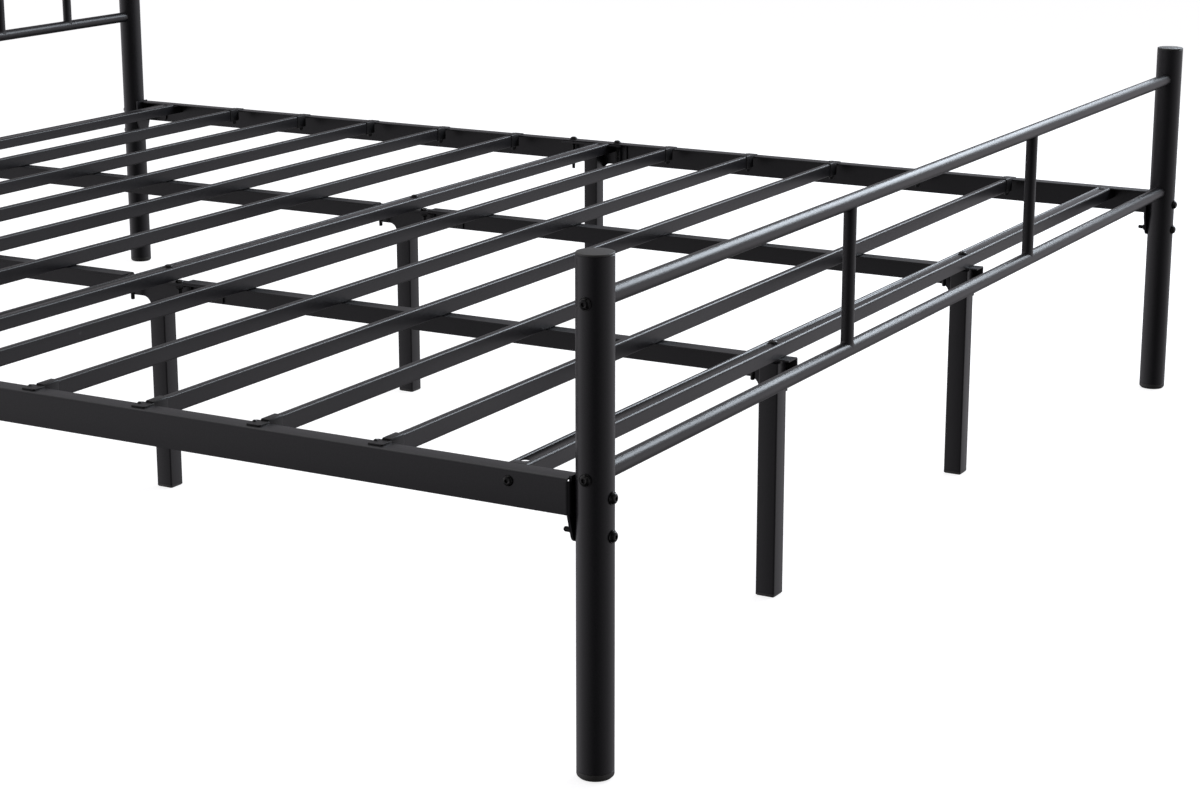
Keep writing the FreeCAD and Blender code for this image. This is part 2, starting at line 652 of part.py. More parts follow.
def bolt_and_nut(seat, axis, grip, tail=THREAD_END, washer=False):
    """Bolt through a grip of sheets and the nut behind them."""
    return bolt(seat, axis, grip + NUT_RISE + tail, washer), nut(seat - axis * grip, -axis)


def long_bolt_and_nut(x, y, seat_z, grip, tip, washer=False):
    """Upright bolt and its nut, the bolt's tip at a set height."""
    return bolt_and_nut(V(x, y, seat_z), V(0, 0, 1), grip, seat_z - tip - grip - NUT_RISE, washer)


def post_pairs():
    """Bolts through the posts and the rails' end plates."""
    pairs = []
    grip = POST_D + END_PLATE_FIT + END_PLATE
    for side in SIDES.values():
        for end in ENDS.values():
            for drop in POST_BOLT_DROPS:
                seat = V(side * HALF_X, end * (HALF_Y + POST_R), DECK_Z - drop)
                pairs.append(bolt_and_nut(seat, V(0, end, 0), grip, POST_BOLT_END, washer=True))
    return pairs


def joint_pairs():
    """Upright bolts of the leg brackets and the cross bars."""
    pairs = []
    up = V(0, 0, 1)
    mid_grip = SPLICE_SHEET + LEG_SHELF
    end_grip = CENTRE_SHEET + LEG_SHELF
    side_grip = RAIL_SHEET + LEG_SHELF
    for side in SIDES.values():
        bolt_x = side * CENTRE_RAIL_X - BAR_BOLT_INSET
        for end in ENDS.values():
            side_x, inboard = side * side_bolt_x(), END_LEG_Y - END_BOLT_Y
            pairs.append(long_bolt_and_nut(side_x, end * SIDE_BOLT_Y, DECK_Z, side_grip, LONG_TIP, washer=True))
            pairs.append(long_bolt_and_nut(bolt_x, end * MID_BOLT_Y, SHELF_TOP, mid_grip, LONG_TIP))
            pairs.append(long_bolt_and_nut(bolt_x, end * inboard, BAR_BOTTOM, end_grip, END_TIP))
            pairs.append(bolt_and_nut(V(bolt_x, end * END_LEG_Y, DECK_Z), up, BAR_DEPTH + end_grip))
        seat = V(bolt_x, MID_BAR_SHIFT, DECK_Z)
        pairs.append(bolt_and_nut(seat, up, BAR_DEPTH + CENTRE_SHEET + mid_grip))
    return pairs


def web_pairs():
    """Level bolts: bar ends to side rails, and splice angles to centre rails."""
    pairs = []
    for side in SIDES.values():
        out = V(side, 0, 0)
        for name, y in zip(bar_rows(), bar_screw_rows()):
            seat = V(side * RAIL_FACE, y, DECK_Z - BAR_SCREW_DROP)
            grip = RAIL_FACE - bar_reach(name) + BAR_SHEET
            pairs.append(bolt_and_nut(seat, out, grip))
        for end in ENDS.values():
            pairs.append(bolt_and_nut(splice_screw(side, end), V(1, 0, 0), CENTRE_SHEET + SPLICE_SHEET))
    return pairs


def save(name, shapes):
    shape = shapes if not isinstance(shapes, list) else Part.makeCompound(shapes)
    shape.exportStep("parts/" + name + ".step")


def save_boards():
    for end_name, end in ENDS.items():
        for side_name, side in SIDES.items():
            save(end_name + "_post_" + side_name, post(side, end))
        low, high = board_heights(end)
        save(end_name + "_lower_tube", cross_tube(end, low))
        save(end_name + "_upper_tube", cross_tube(end, high))
    corners = [(side, end) for side in SIDES.values() for end in ENDS.values()]
    save("post_caps", [post_cap(side, end) for side, end in corners])
    save("post_glides", [post_glide(side, end) for side, end in corners])
    for side_name, side in SIDES.items():
        save("foot_spindle_" + side_name, spindle(side * FOOT_SPINDLE_X, ENDS["foot"]))
    for number in range(1, HEAD_SPINDLES + 1):
        x = -HALF_X + number * HEAD_SPINDLE_STEP
        save("head_spindle_" + str(number), spindle(x, ENDS["head"]))


def save_deck():
    for side_name, side in SIDES.items():
        for end_name, end in ENDS.items():
            save("side_rail_" + side_name + "_" + end_name, side_rail(side, end))
            save("rail_bracket_" + side_name + "_" + end_name, rail_bracket(side, end))
            save("centre_rail_" + side_name + "_" + end_name, centre_rail(side, end))
    for name in bar_rows():
        save("cross_bar_" + name, cross_bar(name))
    save("splice_angles", [splice_angle(side) for side in SIDES.values()])
    for number, y in enumerate(slat_rows(), start=1):
        save("slat_" + str(number).zfill(2), slat(y))
    save("slat_clips", slat_clips())


def save_legs():
    for side_name, side in SIDES.items():
        save("side_leg_" + side_name, side_leg(side))
        save("centre_leg_" + side_name + "_mid", centre_leg_mid(side))
        for end_name, end in ENDS.items():
            save("centre_leg_" + side_name + "_" + end_name, centre_leg_end(side, end))
    save("leg_feet", leg_feet())


def save_fasteners():
    save("tube_bolts", tube_bolts())
    pairs = post_pairs() + joint_pairs() + web_pairs()
    save("frame_bolts", [pair[0] for pair in pairs])
    save("lock_nuts", [pair[1] for pair in pairs])


os.makedirs("parts", exist_ok=True)
save_boards()
save_deck()
save_legs()
save_fasteners()
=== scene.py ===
import cmath
import math

import bmesh
import bpy
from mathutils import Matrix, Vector


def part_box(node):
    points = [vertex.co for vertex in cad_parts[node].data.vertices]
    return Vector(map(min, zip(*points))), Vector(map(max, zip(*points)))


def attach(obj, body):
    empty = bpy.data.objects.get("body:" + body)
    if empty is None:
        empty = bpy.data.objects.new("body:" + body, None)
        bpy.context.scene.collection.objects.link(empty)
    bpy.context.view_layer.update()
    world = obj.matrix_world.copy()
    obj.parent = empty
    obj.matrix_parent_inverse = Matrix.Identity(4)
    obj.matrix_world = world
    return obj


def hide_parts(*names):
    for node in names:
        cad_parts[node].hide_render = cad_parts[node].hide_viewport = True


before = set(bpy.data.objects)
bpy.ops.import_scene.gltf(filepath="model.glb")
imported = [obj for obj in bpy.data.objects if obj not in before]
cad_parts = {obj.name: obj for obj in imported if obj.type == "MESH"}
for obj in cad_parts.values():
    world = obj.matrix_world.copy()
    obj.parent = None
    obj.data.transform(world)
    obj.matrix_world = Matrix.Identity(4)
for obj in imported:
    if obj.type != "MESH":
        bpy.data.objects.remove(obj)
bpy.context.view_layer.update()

# ---------------------------------------------------------------- viewpoint
# A long lens looks across the foot corner from the left, from a little above the posts.
EYE = (-3.134, -2.291, 1.069)
EYE_TURN = math.radians(-60.725)
EYE_TILT = math.radians(90 - 14.735)
LENS_MM = 78.4
LENS_BACK_MM = 36

lens = bpy.data.cameras.new("viewpoint")
lens.lens = LENS_MM
lens.sensor_width = LENS_BACK_MM
lens.clip_end = 200
viewpoint = bpy.data.objects.new("viewpoint", lens)
viewpoint.location = EYE
viewpoint.rotation_euler = (EYE_TILT, 0, EYE_TURN)
bpy.context.collection.objects.link(viewpoint)
bpy.context.scene.camera = viewpoint
bpy.context.scene.view_settings.view_transform = "Standard"


# ---------------------------------------------------------------- studio
# A pale seamless floor in a white room. The room is dim ahead and behind, and bright at both
# sides. A cool box beyond the foot's right corner lights every tube and folded edge.
class Wire:
    """An output of a node. Arithmetic on it adds Math nodes."""

    def __init__(self, bench, socket):
        self.bench, self.socket = bench, socket

    def maths(self, operation, first, second):
        return self.bench.add("ShaderNodeMath", {"operation": operation}, {0: first, 1: second})

    def __add__(self, other):
        return self.maths("ADD", self, other)

    def __sub__(self, other):
        return self.maths("SUBTRACT", self, other)

    def __rsub__(self, other):
        return self.maths("SUBTRACT", other, self)

    def __mul__(self, other):
        return self.maths("MULTIPLY", self, other)

    def __gt__(self, other):
        return self.maths("GREATER_THAN", self, other)

    __radd__ = __add__
    __rmul__ = __mul__


class Bench:
    """A node tree being put together, for a material, the sky or a set of parts."""

    def __init__(self, tree):
        self.tree = tree
        tree.nodes.clear()

    def add(self, kind, settings=None, sockets=None, output=0):
        """One node: its settings first, then the values or wires of its sockets."""
        node = self.tree.nodes.new(kind)
        for name, value in (settings or {}).items():
            if name == "stops":
                for stop, (place, level) in zip(node.color_ramp.elements, value):
                    stop.position, stop.color = place, (level, level, level, 1)
            else:
                setattr(node, name, value)
        for key, value in (sockets or {}).items():
            if isinstance(value, Wire):
                self.tree.links.new(value.socket, node.inputs[key])
            else:
                node.inputs[key].default_value = value
        return Wire(self, node.outputs[output]) if node.outputs else None


FLOOR_REACH = 60.0
FLOOR_DROP = 0.0005
FLOOR_TONE = (0.40, 0.40, 0.402, 1)
FLOOR_GLOW = 0.80
SKY_SEEN = (1.0, 1.0, 1.0, 1)
SKY_TINT = (0.97, 0.945, 1.0, 1)
SKY_AHEAD = 0.36
SKY_BEHIND = 0.14
SKY_BELOW = [(0.20, 0.30), (0.36, 1.0)]     # share of the light, from straight down at 0
SKY_LEFT = 1.15
SKY_RIGHT = 0.85
SOFT_BOXES = {
    # name: (place, aimed at, width, height, watts, colour)
    "ceiling_box": ((0.3, 0.2, 3.4), (0.0, 0.0, 0.3), 3.6, 3.6, 46, (1.0, 1.0, 1.0)),
    "cool_box": ((3.44, -1.65, 2.42), (0.0, -1.05, 0.5), 2.6, 1.3, 135, (0.83, 0.91, 1.0)),
}

sky = bpy.data.worlds.new("studio_sky")
sky.use_nodes = True
bpy.context.scene.world = sky
bench = Bench(sky.node_tree)
heading = bench.add("ShaderNodeTexCoord", {}, {}, "Generated")
east = bench.add("ShaderNodeSeparateXYZ", {}, {0: heading}, "X")
north = bench.add("ShaderNodeSeparateXYZ", {}, {0: heading}, "Y")
across = east * math.cos(EYE_TURN) + north * math.sin(EYE_TURN)
along = north * math.cos(EYE_TURN) - east * math.sin(EYE_TURN)
sides_level = across * across * (SKY_LEFT + (across > 0) * (SKY_RIGHT - SKY_LEFT))
ends_level = SKY_BEHIND + (along > 0) * (SKY_AHEAD - SKY_BEHIND)
rise = bench.add("ShaderNodeSeparateXYZ", {}, {0: heading}, "Z") * 0.5 + 0.5
below = bench.add("ShaderNodeValToRGB", {"stops": SKY_BELOW}, {0: rise})
sky_level = (sides_level + ends_level) * below
sky_shade = bench.add("ShaderNodeBackground", {}, {"Color": SKY_TINT, "Strength": sky_level})
sky_front = bench.add("ShaderNodeBackground", {}, {"Color": SKY_SEEN, "Strength": 1.0})
seen = bench.add("ShaderNodeLightPath", {}, {}, "Is Camera Ray")
sky_mix = bench.add("ShaderNodeMixShader", {}, {0: seen, 1: sky_shade, 2: sky_front})
bench.add("ShaderNodeOutputWorld", {}, {"Surface": sky_mix})

floor_paper = bpy.data.materials.new("floor_paper")
floor_paper.use_nodes = True
bench = Bench(floor_paper.node_tree)
paper = bench.add("ShaderNodeBsdfDiffuse", {}, {"Color": FLOOR_TONE})
glow = bench.add("ShaderNodeEmission", {}, {"Color": SKY_SEEN, "Strength": FLOOR_GLOW})
sheet_paper = bench.add("ShaderNodeAddShader", {}, {0: paper, 1: glow})
bench.add("ShaderNodeOutputMaterial", {}, {"Surface": sheet_paper})
floor_mesh = bpy.data.meshes.new("floor")
corners = [(x * FLOOR_REACH, y * FLOOR_REACH, -FLOOR_DROP)
           for x, y in ((-1, -1), (1, -1), (1, 1), (-1, 1))]
floor_mesh.from_pydata(corners, [], [(0, 1, 2, 3)])
floor_mesh.materials.append(floor_paper)
floor = bpy.data.objects.new("floor", floor_mesh)
floor.visible_diffuse = False
floor.visible_glossy = False
bpy.context.collection.objects.link(floor)

for name, (place, aim, width, height, watts, tint) in SOFT_BOXES.items():
    box_light = bpy.data.lights.new(name, "AREA")
    box_light.shape = "RECTANGLE"
    box_light.size, box_light.size_y = width, height
    box_light.energy, box_light.color = watts, tint
    lamp = bpy.data.objects.new(name, box_light)
    lamp.location = place
    lamp.rotation_euler = (Vector(aim) - Vector(place)).to_track_quat("-Z", "Y").to_euler()
    bpy.context.collection.objects.link(lamp)


# ---------------------------------------------------------------- posts
# Four round steel tubes of 40 mm, cut square and powder coated satin black. The foot pair is
# short, the head pair carries the headboard. Every other piece is placed from these four.
MM = 0.001
SIDES = {"left": -1, "right": 1}
ENDS = {"foot": -1, "head": 1}
CUT_EDGE = 0.4 * MM
COAT_DEEP = (0.0062, 0.0060, 0.0070, 1)
COAT_WORN = (0.0112, 0.0110, 0.0124, 1)
COAT_ROUGH = 0.36
COAT_GLOSS = 0.26
RUB_TONE = (0.060, 0.060, 0.062, 1)


def powder_coat(name, deep, worn, rough):
    """Sprayed and baked powder: orange peel, fine grain, a faint mottle and a few rubbed specks."""
    material = bpy.data.materials.new(name)
    material.use_nodes = True
    bench = Bench(material.node_tree)
    place = bench.add("ShaderNodeTexCoord", {}, {}, "Object")
    mottle = bench.add("ShaderNodeTexNoise", {}, {"Vector": place, "Scale": 7.0, "Detail": 4.0})
    grain = bench.add("ShaderNodeTexNoise", {}, {"Vector": place, "Scale": 620.0, "Detail": 3.0})
    peel = bench.add("ShaderNodeTexNoise", {}, {"Vector": place, "Scale": 190.0, "Detail": 1.0})
    rubs = bench.add("ShaderNodeTexVoronoi", {}, {"Vector": place, "Scale": 14.0}, "Distance")
    patch = bench.add("ShaderNodeTexNoise", {}, {"Vector": place, "Scale": 3.1, "Detail": 2.0})
    speck = (patch > 0.57) * bench.add("ShaderNodeValToRGB", {"stops": [(0.02, 1.0), (0.06, 0.0)]}, {0: rubs})
    tint = bench.add("ShaderNodeValToRGB", {"stops": [(0.35, 0.0), (0.70, 1.0)]}, {0: mottle})
    fine = bench.add("ShaderNodeValToRGB", {"stops": [(0.40, 0.0), (0.62, 1.0)]}, {0: grain})
    mix = {"data_type": "RGBA"}
    body = bench.add("ShaderNodeMix", mix, {0: tint * 0.45 + fine * 0.55, 6: deep, 7: worn}, 2)
    colour = bench.add("ShaderNodeMix", mix, {0: speck * 0.5, 6: body, 7: RUB_TONE}, 2)
    gloss = rough + (mottle - 0.5) * 0.12 + (grain - 0.5) * 0.16 - speck * 0.10
    low = bench.add("ShaderNodeBump", {}, {"Height": peel, "Strength": 0.12, "Distance": 0.00030})
    bump = bench.add("ShaderNodeBump", {}, {
        "Height": grain, "Strength": 0.20, "Distance": 0.00010, "Normal": low})
    shell = bench.add("ShaderNodeBsdfPrincipled", {}, {
        "Base Color": colour, "Roughness": gloss, "Specular IOR Level": COAT_GLOSS, "Normal": bump})
    bench.add("ShaderNodeOutputMaterial", {}, {"Surface": shell})
    return material


def turned(profile, centre=(0, 0, 0), sides=48):
    """Closed turned shell; profile is (radius, height) from the bottom pole to the top pole.
    A radius or a height may be a function of the angle."""
    verts, rings = [], []
    for radius, height in profile:
        ring = []
        for step in range(1 if radius == 0 else sides):
            angle = 2 * math.pi * step / sides
            reach = radius(angle) if callable(radius) else radius
            rise = height(angle) if callable(height) else height
            ring.append(len(verts))
            verts.append(Vector(centre) + Vector((reach * math.cos(angle), reach * math.sin(angle), rise)))
        rings.append(ring)
    faces = []
    for low, high in zip(rings, rings[1:]):
        for step in range(sides):
            after = (step + 1) % sides
            loop = [low[step % len(low)], low[after % len(low)],
                    high[after % len(high)], high[step % len(high)]]
            faces.append(list(dict.fromkeys(loop)))
    return verts, faces


def shaped(name, shells, sharp=32):
    """One piece from closed shells, with its faces outwards and its round faces smooth."""
    verts, faces = [], []
    for shell_verts, shell_faces in shells:
        faces.extend([index + len(verts) for index in face] for face in shell_faces)
        verts.extend(shell_verts)
    mesh = bpy.data.meshes.new(name)
    mesh.from_pydata(verts, [], faces)
    work = bmesh.new()
    work.from_mesh(mesh)
    bmesh.ops.recalc_face_normals(work, faces=work.faces)
    work.to_mesh(mesh)
    work.free()
    mesh.shade_smooth()
    mesh.set_sharp_from_angle(angle=math.radians(sharp))
    part = bpy.data.objects.new(name, mesh)
    bpy.context.collection.objects.link(part)
    return part


def fitted(part, finish, slot, *nodes):
    """Gives a piece its finish, and lets it stand for its CAD nodes on the frame's one body."""
    part.data.materials.clear()
    part.data.materials.append(finish)
    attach(part, "root")
    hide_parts(*nodes)
    return part


coat = powder_coat("black_powder_coat", COAT_DEEP, COAT_WORN, COAT_ROUGH)
post_low, post_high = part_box("foot_post_right")
POST_R = (post_high.x - post_low.x) / 2
HALF_X = (post_high.x + post_low.x) / 2
HALF_Y = -(post_high.y + post_low.y) / 2

for end_name, end in ENDS.items():
    for side_name, side in SIDES.items():
        node = f"{end_name}_post_{side_name}"
        low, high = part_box(node)
        outline = [(0, low.z), (POST_R - CUT_EDGE, low.z), (POST_R, low.z + CUT_EDGE),
                   (POST_R, high.z - CUT_EDGE), (POST_R - CUT_EDGE, high.z), (0, high.z)]
        shell = turned(outline, (side * HALF_X, end * HALF_Y, 0), sides=96)
        fitted(shaped(f"post_{end_name}_{side_name}", [shell]), coat, "frame_coat", node)


# ---------------------------------------------------------------- post plugs
# Moulded black plastic: a thin domed cap pressed into the top of each post, and a taller
# glide with a bevelled toe in the bottom. The mould leaves a fine matt skin.
CAP_ROUND = 1.3 * MM
CAP_DOME = 0.5 * MM
CAP_RISE = 3 * MM
PLUG_DEPTH = 8 * MM
PLUG_R = POST_R * 0.9
TOE = 2.6 * MM
PLASTIC_DEEP = (0.0125, 0.0122, 0.0105, 1)
PLASTIC_PALE = (0.0215, 0.0212, 0.0190, 1)
PLASTIC_ROUGH = 0.52
PLASTIC_GLOSS = 0.45


def moulded_plastic(name, deep, pale, rough, gloss):
    """Spark-eroded mould skin with faint flow marks."""
    material = bpy.data.materials.new(name)
    material.use_nodes = True
    bench = Bench(material.node_tree)
    place = bench.add("ShaderNodeTexCoord", {}, {}, "Object")
    flow = bench.add("ShaderNodeTexNoise", {}, {
        "Vector": place, "Scale": 60.0, "Detail": 3.0, "Distortion": 1.2})
    skin = bench.add("ShaderNodeTexVoronoi", {}, {"Vector": place, "Scale": 1500.0}, "Distance")
    dust = bench.add("ShaderNodeTexNoise", {}, {"Vector": place, "Scale": 900.0, "Detail": 2.0})
    blend = flow * 0.7 + dust * 0.3
    tone = bench.add("ShaderNodeMix", {"data_type": "RGBA"}, {0: blend, 6: deep, 7: pale}, 2)
    bump = bench.add("ShaderNodeBump", {}, {"Height": skin, "Strength": 0.3, "Distance": 0.0001})
    shell = bench.add("ShaderNodeBsdfPrincipled", {}, {
        "Base Color": tone, "Roughness": rough + (flow - 0.5) * 0.15,
        "Specular IOR Level": gloss, "Normal": bump})
    bench.add("ShaderNodeOutputMaterial", {}, {"Surface": shell})
    return material


plastic = moulded_plastic("black_plastic_mould", PLASTIC_DEEP, PLASTIC_PALE, PLASTIC_ROUGH, PLASTIC_GLOSS)
caps, glides = [], []
for end_name, end in ENDS.items():
    for side_name, side in SIDES.items():
        centre = (side * HALF_X, end * HALF_Y, 0)
        low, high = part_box(f"{end_name}_post_{side_name}")
        top = high.z + CAP_RISE
        crown = [(POST_R - CAP_ROUND * (1 - math.sin(turn)),
                  top - CAP_DOME - CAP_ROUND * (1 - math.cos(turn)))
                 for turn in (math.pi / 2, math.pi / 3, math.pi / 6, 0)]
        caps.append(turned([(0, high.z - PLUG_DEPTH), (PLUG_R, high.z - PLUG_DEPTH), (PLUG_R, high.z),
                            (POST_R - 0.2 * MM, high.z + 0.15 * MM), *crown,
                            (POST_R * 0.55, top - CAP_DOME * 0.3), (0, top)], centre, sides=96))
        glides.append(turned([(0, 0), (POST_R - TOE, 0), (POST_R - 0.5 * MM, TOE * 0.8), (POST_R, TOE * 1.3),
                              (POST_R, low.z - 0.3 * MM), (POST_R - 0.4 * MM, low.z), (PLUG_R, low.z),
                              (PLUG_R, low.z + PLUG_DEPTH), (0, low.z + PLUG_DEPTH)], centre, sides=96))
fitted(shaped("post_cap_plugs", caps), plastic, "black_plastic", "post_caps")
fitted(shaped("post_glide_plugs", glides), plastic, "black_plastic", "post_glides")


# ---------------------------------------------------------------- cross tubes
# Round tubes of 19 mm between the posts, two in the footboard and two in the headboard, with
# their ends notched to the round of the posts and bolted from outside.
tube_low, tube_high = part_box("foot_upper_tube")
TUBE_R = (tube_high.z - tube_low.z) / 2


def lying(shell):
    """Lays an upright shell along X."""
    verts, faces = shell
    return [Vector((v.z, v.x, v.y)) for v in verts], faces


def notch(angle, sign=1):
    """Where the tube's wall meets the round of a post, at an angle about the tube."""
    depth = math.sqrt(POST_R ** 2 - (TUBE_R * math.cos(angle)) ** 2)
    return sign * (HALF_X - depth)


for board, end in ENDS.items():
    for level in ("lower", "upper"):
        node = f"{board}_{level}_tube"
        low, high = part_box(node)
        mid = (low.z + high.z) / 2
        shell = turned([(0, -HALF_X + POST_R), (TUBE_R, lambda a: notch(a, -1)), (TUBE_R, 0),
                        (TUBE_R, notch), (0, HALF_X - POST_R)])
        verts, faces = lying(shell)
        verts = [v + Vector((0, end * HALF_Y, mid)) for v in verts]
        fitted(shaped(f"tube_{board}_{level}", [(verts, faces)]), coat, "frame_coat", node)


# ---------------------------------------------------------------- spindles
# Thin upright tubes of 16 mm, saddle cut and welded all round to the tubes above and below:
# two in the footboard, nine in the headboard. A small fillet of weld shows at each end.
WELD = 1.8 * MM


def parts_row():
    """Tree for one part repeated Count times, Step apart."""
    tree = bpy.data.node_groups.new("parts_in_a_row", "GeometryNodeTree")
    bench = Bench(tree)
    for name, kind in (("Part", "Object"), ("Count", "Int"), ("Start", "Vector"), ("Step", "Vector"),
                       ("Finish", "Material")):
        tree.interface.new_socket(name, in_out="INPUT", socket_type="NodeSocket" + kind)
    tree.interface.new_socket("Parts", in_out="OUTPUT", socket_type="NodeSocketGeometry")
    given = tree.nodes.new("NodeGroupInput")
    wire = {socket.name: Wire(bench, socket) for socket in given.outputs}
    part = bench.add("GeometryNodeObjectInfo", {}, {"Object": wire["Part"]}, "Geometry")
    line = bench.add("GeometryNodeMeshLine", {"mode": "OFFSET"}, {
        "Count": wire["Count"], "Start Location": wire["Start"], "Offset": wire["Step"]})
    copies = bench.add("GeometryNodeInstanceOnPoints", {}, {"Points": line, "Instance": part})
    solid = bench.add("GeometryNodeRealizeInstances", {}, {"Geometry": copies})
    coated = bench.add("GeometryNodeSetMaterial", {}, {"Geometry": solid, "Material": wire["Finish"]})
    bench.add("NodeGroupOutput", {}, {0: coated})
    return tree


def grown(name, tree, values, mesh=None):
    """Runs a tree on a mesh, or on nothing, and keeps the result as a plain piece."""
    piece = bpy.data.objects.new(name, mesh or bpy.data.meshes.new(name))
    modifier = piece.modifiers.new(name, "NODES")
    modifier.node_group = tree
    for item in tree.interface.items_tree:
        if item.in_out == "INPUT" and item.name in values:
            modifier[item.identifier] = values[item.name]
    bpy.context.collection.objects.link(piece)
    result = bpy.data.meshes.new_from_object(piece.evaluated_get(bpy.context.evaluated_depsgraph_get()))
    piece.modifiers.clear()
    piece.data = result
    return piece


def pattern_part(name, shells, sharp=32):
    """A part that only serves as the pattern for a repeated one."""
    part = shaped(name, shells, sharp)
    bpy.context.collection.objects.unlink(part)
    return part


row = parts_row()


def spindle_pattern(name, radius, low, high):
    """Upright tube between two tube centre lines, cut to them, with a fillet of weld at each end."""
    def seat(centre, sign, reach, lift):
        return lambda a: centre + sign * (math.sqrt(TUBE_R ** 2 - (reach * math.sin(a)) ** 2) + lift)

    fillet = [(radius + WELD * 0.62, -0.3 * MM), (radius + WELD * 0.5, WELD * 0.3),
              (radius + WELD * 0.16, WELD * 0.85), (radius, WELD * 1.5)]
    rings = [(0, low)] + [(r, seat(low, 1, min(r, TUBE_R), lift)) for r, lift in fillet]
    rings += [(r, seat(high, -1, min(r, TUBE_R), lift)) for r, lift in reversed(fillet)] + [(0, high)]
    return pattern_part(name, [turned(rings, sides=40)], sharp=60)


for board, numbers in (("foot", ("left", "right")), ("head", [str(n) for n in range(1, 10)])):
    nodes = [f"{board}_spindle_{number}" for number in numbers]
    first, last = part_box(nodes[0]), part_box(nodes[-1])
    radius = (first[1].x - first[0].x) / 2
    start = (first[0].x + first[1].x) / 2
    span = (last[0].x + last[1].x) / 2 - start
    lower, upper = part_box(f"{board}_lower_tube"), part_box(f"{board}_upper_tube")
    pattern = spindle_pattern(f"{board}_spindle_pattern", radius,
                              (lower[0].z + lower[1].z) / 2, (upper[0].z + upper[1].z) / 2)
    count = len(nodes)
    bars = grown(f"{board}_spindles", row, {
        "Part": pattern, "Count": count, "Start": (start, ENDS[board] * HALF_Y, 0),
        "Step": (span / (count - 1), 0, 0), "Finish": coat})
    fitted(bars, coat, "frame_coat", *nodes)


# ---------------------------------------------------------------- side rails
# Steel strip of 2 mm folded to an angle: a 25 mm flange on top and a 39 mm face outside. Each
# side is two halves that meet over the middle leg. The fold shows as a soft bright line.
SHEET = 2 * MM
RAIL_BEND = 4 * MM
SHEARED = 0.35 * MM
rail_low, rail_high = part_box("side_rail_right_foot")
DECK = rail_high.z
RAIL_FACE = rail_high.x
RAIL_EDGE = rail_low.x
RAIL_FOOT = rail_low.z


def rounded(corners, steps=4):
    """Closed outline through (u, v, radius) corners, each radius turned as an arc."""
    points = []
    for index, (u, v, radius) in enumerate(corners):
        here = complex(u, v)
        back = complex(*corners[index - 1][:2]) - here
        ahead = complex(*corners[(index + 1) % len(corners)][:2]) - here
        back, ahead = back / abs(back), ahead / abs(ahead)
        half = abs(cmath.phase(ahead / back)) / 2
        if radius == 0:
            points.append((u, v))
            continue
        bisector = (back + ahead) / abs(back + ahead)
        middle = here + bisector * radius / math.sin(half)
        start = here + back * radius / math.tan(half)
        end = here + ahead * radius / math.tan(half)
        sweep = cmath.phase((end - middle) / (start - middle))
        for step in range(steps + 1):
            point = middle + (start - middle) * cmath.rect(1, sweep * step / steps)
            points.append((point.real, point.imag))
    return points


def prism(outline, origin, across, up, run):
    """Closed bar: an outline in (across, up) carried along run."""
    origin, across, up, run = Vector(origin), Vector(across), Vector(up), Vector(run)
    count = len(outline)
    near = [origin + across * u + up * v for u, v in outline]
    verts = near + [point + run for point in near]
    faces = [[k, (k + 1) % count, (k + 1) % count + count, k + count] for k in range(count)]
    faces += [list(range(count)), list(range(count, 2 * count))]
    return verts, faces


def folded_angle(corner, across, run, width, depth, sheet, bend):
    """Folded angle from its outer corner: flange along across, web hanging down."""
    outline = rounded([(0, 0, bend), (width, 0, SHEARED), (width, -sheet, SHEARED),
                       (sheet, -sheet, bend - sheet), (sheet, -depth, SHEARED), (0, -depth, SHEARED)], 6)
    return prism(outline, corner, across, (0, 0, 1), run)


for side_name, side in SIDES.items():
    for end_name, end in ENDS.items():
        node = f"side_rail_{side_name}_{end_name}"
        low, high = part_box(node)
        near, far = sorted((abs(low.y), abs(high.y)))
        depth = DECK - RAIL_FOOT
        flange = RAIL_FACE - RAIL_EDGE
        long = folded_angle((side * RAIL_FACE, end * near, DECK), (-side, 0, 0),
                            (0, end * (far - near - SHEET), 0), flange, depth, SHEET, RAIL_BEND)
        lip = folded_angle((side * RAIL_FACE, end * (far - SHEET), DECK), (-side, 0, 0),
                           (0, end * SHEET, 0), flange, RAIL_BEND + SHEARED, SHEET, RAIL_BEND)
        fitted(shaped(f"side_angle_{side_name}_{end_name}", [long, lip]), coat, "frame_coat", node)


# ---------------------------------------------------------------- rail end plates
# Each rail ends in a 3 mm plate that is folded round from the rail's face and bolted flat
# against the post. Its lower end is rounded about the lower bolt. A tongue lies in the rail.
PLATE_SHEET = 3 * MM
PLATE_RISE = 2 * MM
FOLD_R = 4.5 * MM
TOE_R = 11 * MM
TONGUE = 45 * MM
TONGUE_ROUND = 6 * MM
POST_BOLT_DROPS = (19 * MM, 59.5 * MM)
HEEL = SHEET + PLATE_SHEET
FOLD_TOP = DECK - RAIL_BEND
PLATE_FACE = HALF_Y - POST_R - 0.2 * MM


def end_plate(half, toe_z, top):
    """Outline of the plate in (u, z), u running outwards from the post's middle line."""
    rise = RAIL_FOOT - toe_z
    tip = math.atan2(rise, half) - math.acos(TOE_R / math.hypot(half, rise))
    sweep = math.pi + 2 * tip
    toe = [(TOE_R * math.cos(tip - sweep * k / 16), toe_z + TOE_R * math.sin(tip - sweep * k / 16))
           for k in range(17)]
    inner = [(half - HEEL, top), (half - HEEL, RAIL_FOOT), (half, RAIL_FOOT)]
    return inner + toe + [(-half, RAIL_FOOT), (-half, top)]


